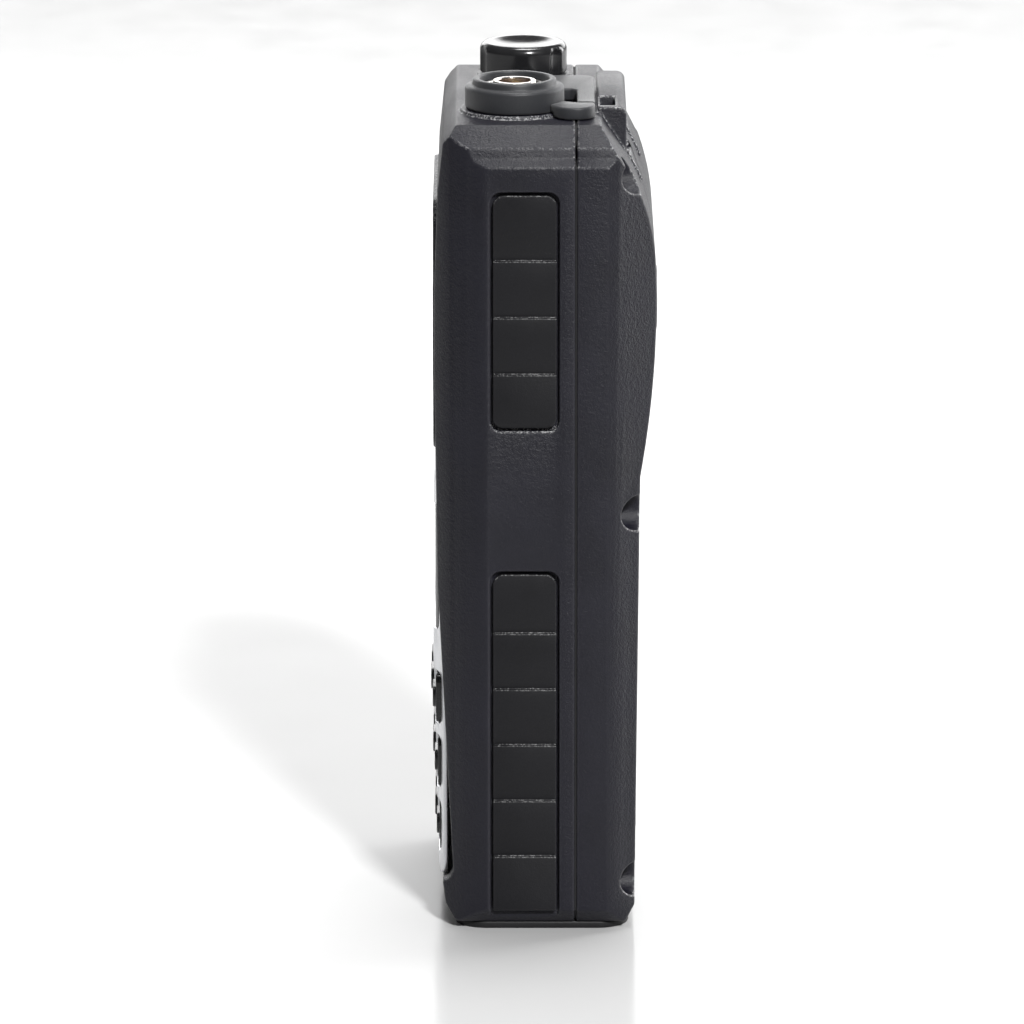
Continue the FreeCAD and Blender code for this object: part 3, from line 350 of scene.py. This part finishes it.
CHIP = moulded("chip_black", (0.02, 0.02, 0.021), 0.5, grain_mm=0.1, depth_mm=0.004)
WRAP = moulded("battery_wrap", (0.05, 0.07, 0.13), 0.35, grain_mm=0.6, depth_mm=0.006)
LAMP = glossy("lamp_lens", (0.35, 0.45, 0.35), 0.12)
BOARD = circuit_board("board_green")
CLOTH = woven("speaker_cloth", (0.02, 0.02, 0.022), 0.35)
CONE = woven("cone_paper", (0.03, 0.03, 0.03), 0.6)
LCD = lcd_face("lcd_green")


# Mesh helpers

def add_piece(name, mesh, material, body, replaced):
    """Put a finished mesh into the scene, riding on a body if one is given."""
    piece = bpy.data.objects.new(name, mesh)
    bpy.context.scene.collection.objects.link(piece)
    mesh.materials.clear()
    mesh.materials.append(material)
    if body:
        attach(piece, body)
    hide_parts(*replaced)
    return piece


def cad_mesh(node):
    """The node's mesh with its flat faces joined up."""
    form = bmesh.new()
    form.from_mesh(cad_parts[node].data)
    bmesh.ops.remove_doubles(form, verts=form.verts, dist=WELD)
    bmesh.ops.dissolve_limit(form, angle_limit=math.radians(0.5), verts=form.verts, edges=form.edges)
    return form


def round_edges(form, width_mm, angle=28, segments=3):
    """Round every edge that turns by more than the angle, in degrees."""
    sharp = [edge for edge in form.edges
             if edge.is_manifold and edge.calc_face_angle(0) > math.radians(angle)]
    bmesh.ops.bevel(form, geom=sharp, offset=width_mm * MM, offset_type="OFFSET", segments=segments,
                    profile=0.5, affect="EDGES", clamp_overlap=False)


def finished(form, name, angle=40):
    """The form as a mesh, shaded smooth except at edges sharper than the angle, in degrees."""
    mesh = bpy.data.meshes.new(name)
    form.to_mesh(mesh)
    form.free()
    for face in mesh.polygons:
        face.use_smooth = True
    mesh.set_sharp_from_angle(angle=math.radians(angle))
    return mesh


def softened(node, name, material, body, width_mm):
    """A copy of a CAD node with its edges rounded."""
    form = cad_mesh(node)
    round_edges(form, width_mm)
    return add_piece(name, finished(form, name), material, body, (node,))


def paint(material, *nodes):
    """Give CAD nodes that stay as they are a finished material."""
    for node in nodes:
        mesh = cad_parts[node].data
        mesh.materials.clear()
        mesh.materials.append(material)


def filleted(corners):
    """An outline of (across, up, radius) corners with each corner rounded, in millimetres."""
    most_of_a_side = 0.49
    degrees_a_step = 15
    points = []
    count = len(corners)
    for index, (x, y, radius) in enumerate(corners):
        here = Vector((x, y))
        before = Vector(corners[index - 1][:2]) - here
        after = Vector(corners[(index + 1) % count][:2]) - here
        if not radius:
            points.append(here)
            continue
        half = before.angle(after) / 2
        longest = most_of_a_side * min(before.length, after.length)
        reach = min(radius / math.tan(half), longest)
        radius = reach * math.tan(half)
        centre = here + (before.normalized() + after.normalized()).normalized() * radius / math.sin(half)
        first = here + before.normalized() * reach - centre
        last = here + after.normalized() * reach - centre
        turn = first.angle_signed(last)
        steps = max(2, math.ceil(abs(math.degrees(turn)) / degrees_a_step))
        for step in range(steps + 1):
            spun = first.copy()
            spun.rotate(Matrix.Rotation(-turn * step / steps, 2))
            points.append(centre + spun)
    return points


def lathe(name, corners, centre, material, body, replaced, around=128, shape=None):
    """A round piece from a closed outline of (radius, height, fillet) corners, in millimetres.

    A shape gives the radius from the outline's radius, the height and the angle.
    """
    outline = filleted(corners)
    form = bmesh.new()
    rings = []
    for radius, height in outline:
        ring = []
        for step in range(around):
            angle = 2 * math.pi * step / around
            reach = shape(radius, height, angle) if shape else radius
            spot = Vector((reach * math.cos(angle), reach * math.sin(angle), height))
            ring.append(form.verts.new((Vector(centre) + spot) * MM))
        rings.append(ring)
    for index, ring in enumerate(rings):
        after = rings[(index + 1) % len(rings)]
        for step in range(around):
            turn = (step + 1) % around
            form.faces.new((ring[step], ring[turn], after[turn], after[step]))
    bmesh.ops.remove_doubles(form, verts=form.verts, dist=WELD)
    bmesh.ops.recalc_face_normals(form, faces=form.faces)
    return add_piece(name, finished(form, name, 32), material, body, replaced)


def centre_of(node):
    """The middle of a node's box in millimetres."""
    low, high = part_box(node)
    return (low + high) / 2 / MM


# Case

for node, name, body, width in (
    ("front_case", "front_shell", "radio", 0.22),
    ("rear_case", "rear_shell", "radio", 0.22),
    ("battery_door", "door_panel", "battery_door", 0.16),
):
    softened(node, name, CASE, body, width)
for node, name in (
    ("side_grip_upper", "upper_grip"),
    ("side_grip_lower_right", "lower_right_grip"),
    ("side_grip_lower_left", "lower_left_grip"),
):
    softened(node, name, GRIP, "radio", width_mm=0.14)
softened("base_foot", "rubber_foot", FOOT, "radio", width_mm=0.3)
paint(SEAL, "case_gasket")

# Keypad panel and keys

softened("keypad_bezel", "silver_panel", SILVER, "radio", width_mm=0.18)
for row in (1, 2, 3):
    for column in (1, 2, 3, 4):
        key = f"key_{row}_{column}"
        softened(key, f"cap_{row}_{column}", KEY, key, width_mm=0.16)
lens_low, lens_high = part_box("display_lens")
softened("display_lens", "smoked_window", display_window("display_glass", lens_low, lens_high), "radio",
         width_mm=0.12)
paint(LCD, "lcd_module")
for node, name in (("talk_button", "talk_bar"), ("monitor_key", "monitor_bar"), ("lamp_key", "lamp_bar")):
    softened(node, name, BUTTON, node, width_mm=0.22)

# Tuning knob

knob_low, knob_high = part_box("tuning_knob")
knob_centre = centre_of("tuning_knob")
KNOB_RADIUS = (knob_high.x - knob_low.x) / 2 / MM
KNOB_TALL = (knob_high.z - knob_low.z) / MM
FLUTES = 3
FLUTE_RADIUS = 2.0
FLUTE_DEEP = 0.6
FLUTE_OFFSET = KNOB_RADIUS + FLUTE_RADIUS - FLUTE_DEEP
FLUTE_ANGLE = math.radians(50)
FLUTE_END = KNOB_TALL - 1.6         # above this the flute rounds off
FLUTED_FROM = 0.7 * KNOB_RADIUS     # points further in than this are left round
KNOB_BORE = 3.05
KNOB_GAP = 0.02                     # clearance below the knob, and the radius of the hole left at its axis
KNOB_FOOT = 0.25                    # the small slope around the knob's foot
KNOB_SHOULDER = 1.05                # where the straight side ends, below the top
BORE_END = 1.7                      # how far below the top the shaft's bore ends
DISH_DEEP = 0.72
SIDE_STEPS = 24
# The rim and the dished top: how far in from the side, and how far down from the highest point.
KNOB_TOP = (
    (0.06, 0.7),
    (0.28, 0.32),
    (0.62, 0.08),
    (1.05, 0.0),
    (1.6, 0.07),
    (2.4, 0.3),
    (3.6, 0.55),
    (4.8, 0.68),
)


def fluted(radius, height, angle):
    """Where the knob's surface is once round-ended flutes are scooped from its side."""
    if radius < FLUTED_FROM:
        return radius
    pitch = 2 * math.pi / FLUTES
    off = (angle - FLUTE_ANGLE + pitch / 2) % pitch - pitch / 2
    rise = max(0.0, height - FLUTE_END)
    scoop = math.sqrt(max(0.0, FLUTE_RADIUS ** 2 - rise ** 2))
    inside = scoop ** 2 - (FLUTE_OFFSET * math.sin(off)) ** 2
    if inside <= 0:
        return radius
    return min(radius, FLUTE_OFFSET * math.cos(off) - math.sqrt(inside))


def knob_outline():
    """The knob's half section, with extra points up its side for the flutes to bend."""
    side_tall = KNOB_TALL - KNOB_FOOT - KNOB_SHOULDER
    side = [(KNOB_RADIUS, KNOB_FOOT + step * side_tall / SIDE_STEPS, 0) for step in range(SIDE_STEPS + 1)]
    top = [(KNOB_RADIUS - inset, KNOB_TALL - drop, 0) for inset, drop in KNOB_TOP]
    return [(KNOB_BORE, KNOB_GAP, 0), (KNOB_RADIUS - KNOB_FOOT, KNOB_GAP, 0)] + side + top + [
        (KNOB_GAP, KNOB_TALL - DISH_DEEP, 0),
        (KNOB_GAP, KNOB_TALL - BORE_END, 0),
        (KNOB_BORE, KNOB_TALL - BORE_END, 0),
    ]


knob_foot = (knob_centre.x, knob_centre.y, knob_low.z / MM)
lathe("fluted_knob", knob_outline(), knob_foot, KNOB, "tuning_knob", ("tuning_knob",),
      around=320, shape=fluted)

collar_low, collar_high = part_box("knob_collar")
COLLAR_RADIUS = (collar_high.x - collar_low.x) / 2 / MM
COLLAR_BORE = 3.4
COLLAR_TALL = 0.88
collar_foot = (knob_centre.x, knob_centre.y, collar_low.z / MM)
lathe("grey_collar", [
    (COLLAR_BORE, 0.0, 0.05),
    (COLLAR_RADIUS, 0.0, 0.05),
    (COLLAR_RADIUS, COLLAR_TALL, 0.3),
    (COLLAR_BORE, COLLAR_TALL, 0.1),
], collar_foot, COLLAR, "radio", ("knob_collar",))

# Antenna socket and its rubber ring

ring_low, ring_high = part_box("antenna_ring")
aerial = centre_of("antenna_ring")
RING_RADIUS = (ring_high.x - ring_low.x) / 2 / MM
RING_TALL = (ring_high.z - ring_low.z) / MM
RING_BAND = RING_TALL - 1.0
RING_BORE = 4.75
BORE_TALL = 2.9
LIP_FOOT = RING_TALL - 0.9
LIP_FOOT_RADIUS = 5.85
LIP_RADIUS = 5.7
LIP_BORE = 4.85
ring_foot = (aerial.x, aerial.y, ring_low.z / MM)
lathe("rubber_ring", [
    (RING_BORE, 0.0, 0.1),
    (RING_RADIUS, 0.0, 0.35),
    (RING_RADIUS, RING_BAND, 0.5),
    (LIP_FOOT_RADIUS, LIP_FOOT, 0.15),
    (LIP_RADIUS, RING_TALL, 0.35),
    (LIP_BORE, RING_TALL, 0.25),
    (RING_BORE, BORE_TALL, 0.1),
], ring_foot, RING, "radio", ("antenna_ring",))

nut_low, nut_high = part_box("antenna_nut")
NUT_RADIUS = (nut_high.x - nut_low.x) / 2 / MM
NUT_TALL = (nut_high.z - nut_low.z) / MM
NUT_BORE = 3.32
NUT_SINK = NUT_TALL - 0.25          # the floor of the shallow step around the bore
SINK_RADIUS = 3.55
SINK_RIM = 3.75
nut_foot = (aerial.x, aerial.y, nut_low.z / MM)
lathe("socket_nut", [
    (NUT_BORE, 0.0, 0.05),
    (NUT_RADIUS, 0.0, 0.05),
    (NUT_RADIUS, NUT_TALL, 0.3),
    (SINK_RIM, NUT_TALL, 0.1),
    (SINK_RADIUS, NUT_SINK, 0.1),
    (NUT_BORE, NUT_SINK, 0.05),
], nut_foot, NUT, "radio", ("antenna_nut",))

barrel_low, barrel_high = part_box("antenna_barrel")
BARREL_RADIUS = (barrel_high.x - barrel_low.x) / 2 / MM
BARREL_TALL = (barrel_high.z - barrel_low.z) / MM
BARREL_BORE = 2.3
THREAD_RADIUS = 3.175
THREAD_FOOT = BARREL_TALL - 1.7
THREAD_START = THREAD_FOOT + 0.1
THREAD_END = BARREL_TALL - 0.25
THREAD_PITCH = 0.7056
THREAD_DEPTH = 0.34
THREAD_STEPS = 30
THREAD_STEP = 1.4 / THREAD_STEPS


def threaded(radius, height, angle):
    """The barrel's outside, with a screw thread near its top."""
    if radius < THREAD_RADIUS - 0.05 or not THREAD_START <= height <= THREAD_END:
        return radius
    turn = (height / THREAD_PITCH - angle / (2 * math.pi)) % 1.0
    return radius - THREAD_DEPTH * abs(2 * turn - 1)


def barrel_outline():
    """The barrel's half section, with extra points up its side for the thread to bend."""
    foot = [(BARREL_BORE, 0.0, 0), (BARREL_RADIUS, 0.0, 0), (BARREL_RADIUS, THREAD_FOOT, 0)]
    side = [(THREAD_RADIUS, THREAD_FOOT + step * THREAD_STEP, 0) for step in range(THREAD_STEPS + 1)]
    return foot + side + [
        (THREAD_RADIUS - 0.28, BARREL_TALL, 0.08),
        (BARREL_BORE + 0.12, BARREL_TALL, 0.05),
        (BARREL_BORE, BARREL_TALL - 0.15, 0),
    ]


barrel_foot = (aerial.x, aerial.y, barrel_low.z / MM)
lathe("threaded_barrel", barrel_outline(), barrel_foot, NICKEL, "radio", ("antenna_barrel",),
      around=96, shape=threaded)
paint(CREAM, "antenna_insulator")
paint(GOLD, "antenna_contact", "battery_contacts")

# Jack cap and strap: one piece of rubber, sliced at the neck where the rubber bends


def near(spot, *places):
    """Whether a place is within a fiftieth of a millimetre of any of these."""
    return min(abs(spot - place) for place in places) < 0.02 * MM


def rubber_cap():
    """The strap and the cap as one mesh, cut into slices at the neck."""
    slices = 12
    slice_wide = 0.3 * MM
    first_slice = -1.6 * MM
    form = cad_mesh("cap_strap")
    other = cad_mesh("jack_cap")
    scratch = bpy.data.meshes.new("scratch")
    other.to_mesh(scratch)
    other.free()
    form.from_mesh(scratch)
    bpy.data.meshes.remove(scratch)
    strap_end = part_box("cap_strap")[0].x
    cap_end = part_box("jack_cap")[1].x
    facing = [face for face in form.faces
              if abs(face.normal.x) > 0.99 and near(face.calc_center_median().x, strap_end, cap_end)]
    bmesh.ops.bridge_loops(form, edges=list({edge for face in facing for edge in face.edges}))
    bmesh.ops.delete(form, geom=facing, context="FACES_ONLY")
    round_edges(form, 0.3, angle=40, segments=4)
    for step in range(slices + 1):
        spot = cap_end + first_slice + step * slice_wide
        parts = form.verts[:] + form.edges[:] + form.faces[:]
        bmesh.ops.bisect_plane(form, geom=parts, plane_co=(spot, 0, 0), plane_no=(1, 0, 0))
    bmesh.ops.recalc_face_normals(form, faces=form.faces)
    mesh = finished(form, "strap_and_cap")
    piece = add_piece("strap_and_cap", mesh, RING, None, ("cap_strap", "jack_cap"))
    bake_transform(piece)


rubber_cap()

# Back fittings

softened("case_screws", "cross_screws", BRIGHT, "radio", width_mm=0.08)
softened("battery_latch", "latch_slider", KNOB, "battery_latch", width_mm=0.12)
softened("belt_clip_stud", "clip_stud", STUD, "radio", width_mm=0.12)

# Pieces inside the case and small ones that stay as they are

paint(LAMP, "status_lamp")
paint(CLOTH, "speaker_mesh")
paint(CONE, "speaker_cone")
paint(MAGNET, "speaker_magnet")
paint(BRIGHT, "speaker_basket", "shield_can", "door_pin", "encoder_shaft", "board_standoffs")
paint(ALLOY, "chassis_frame", "power_amplifier")
paint(BOARD, "main_board", "keypad_board", "side_board")
paint(CHIP, "transceiver_chip", "side_switches", "microphone", "encoder_body", "jack_block")
paint(SEAL, "keypad_mat")
paint(WRAP, "battery_pack")


# Floor, light and camera

def stage_floor():
    """A plain floor. Its mid grey reads as white under the lights, and it hardly mirrors them."""
    half_wide = 4.0
    dark, light = (0.51, 0.51, 0.51), (0.525, 0.525, 0.525)
    form = bmesh.new()
    bmesh.ops.create_grid(form, x_segments=1, y_segments=1, size=half_wide)
    mesh = bpy.data.meshes.new("floor")
    form.to_mesh(mesh)
    form.free()
    floor = bpy.data.objects.new("floor", mesh)
    bpy.context.scene.collection.objects.link(floor)
    made = Shader("pale_floor")
    made.set(Specular_IOR_Level=0.03)
    made.link(made.mix(made.noise(feature_mm=40.0), dark, light), made.surface.inputs["Base Color"])
    made.link(made.ramp(made.noise(feature_mm=15.0), *NOISE, 0.12, 0.18), made.surface.inputs["Roughness"])
    mesh.materials.append(made.material)


def aimed(name, data, way, place=(0, 0, 0)):
    """A light or a camera that stands at a place and looks along a direction."""
    thing = bpy.data.objects.new(name, data)
    thing.location = place
    thing.rotation_mode = "QUATERNION"
    thing.rotation_quaternion = way.to_track_quat("-Z", "Y")
    bpy.context.scene.collection.objects.link(thing)
    return thing


def soft_light(name, place, size, power):
    """A flat rectangular light that faces the middle of the radio."""
    lamp = bpy.data.lights.new(name, "AREA")
    lamp.shape = "RECTANGLE"
    lamp.size, lamp.size_y = size
    lamp.energy = power
    aimed(name, lamp, Vector((0, 0, 0.06)) - Vector(place), place)


def studio():
    """A soft sun from the camera's upper right, a light above, a wide one behind and a rim light."""
    world = bpy.data.worlds.new("studio")
    world.use_nodes = True
    background = world.node_tree.nodes["Background"]
    background.inputs["Color"].default_value = (1.0, 1.0, 1.0, 1.0)
    background.inputs["Strength"].default_value = 0.1
    bpy.context.scene.world = world
    sun = bpy.data.lights.new("sun", "SUN")
    sun.energy = 4.0
    sun.angle = math.radians(7)
    aimed("sun", sun, Vector((-0.77, -0.25, -0.585)))
    soft_light("above", (-0.2, 0.06, 1.3), size=(0.45, 0.45), power=12.0)
    soft_light("wall", (-1.6, 0.1, 0.5), size=(2.2, 0.6), power=15.0)
    soft_light("rim", (-0.7, 1.1, 0.45), size=(0.5, 0.9), power=11.0)


def camera():
    """A long lens looking at the right side from a little above."""
    distance = 1.40
    elevation = math.radians(12.9)
    frame_width = 0.1409
    target = Vector((cad_high.x, -0.0047, 0.0600))
    eye = bpy.data.cameras.new("camera")
    eye.sensor_width = 36.0
    eye.lens = eye.sensor_width * distance / frame_width
    eye.clip_start = 0.05
    place = target + distance * Vector((math.cos(elevation), 0, math.sin(elevation)))
    bpy.context.scene.camera = aimed("camera", eye, target - place, place)


stage_floor()
studio()
camera()
bpy.context.scene.view_settings.view_transform = "Standard"
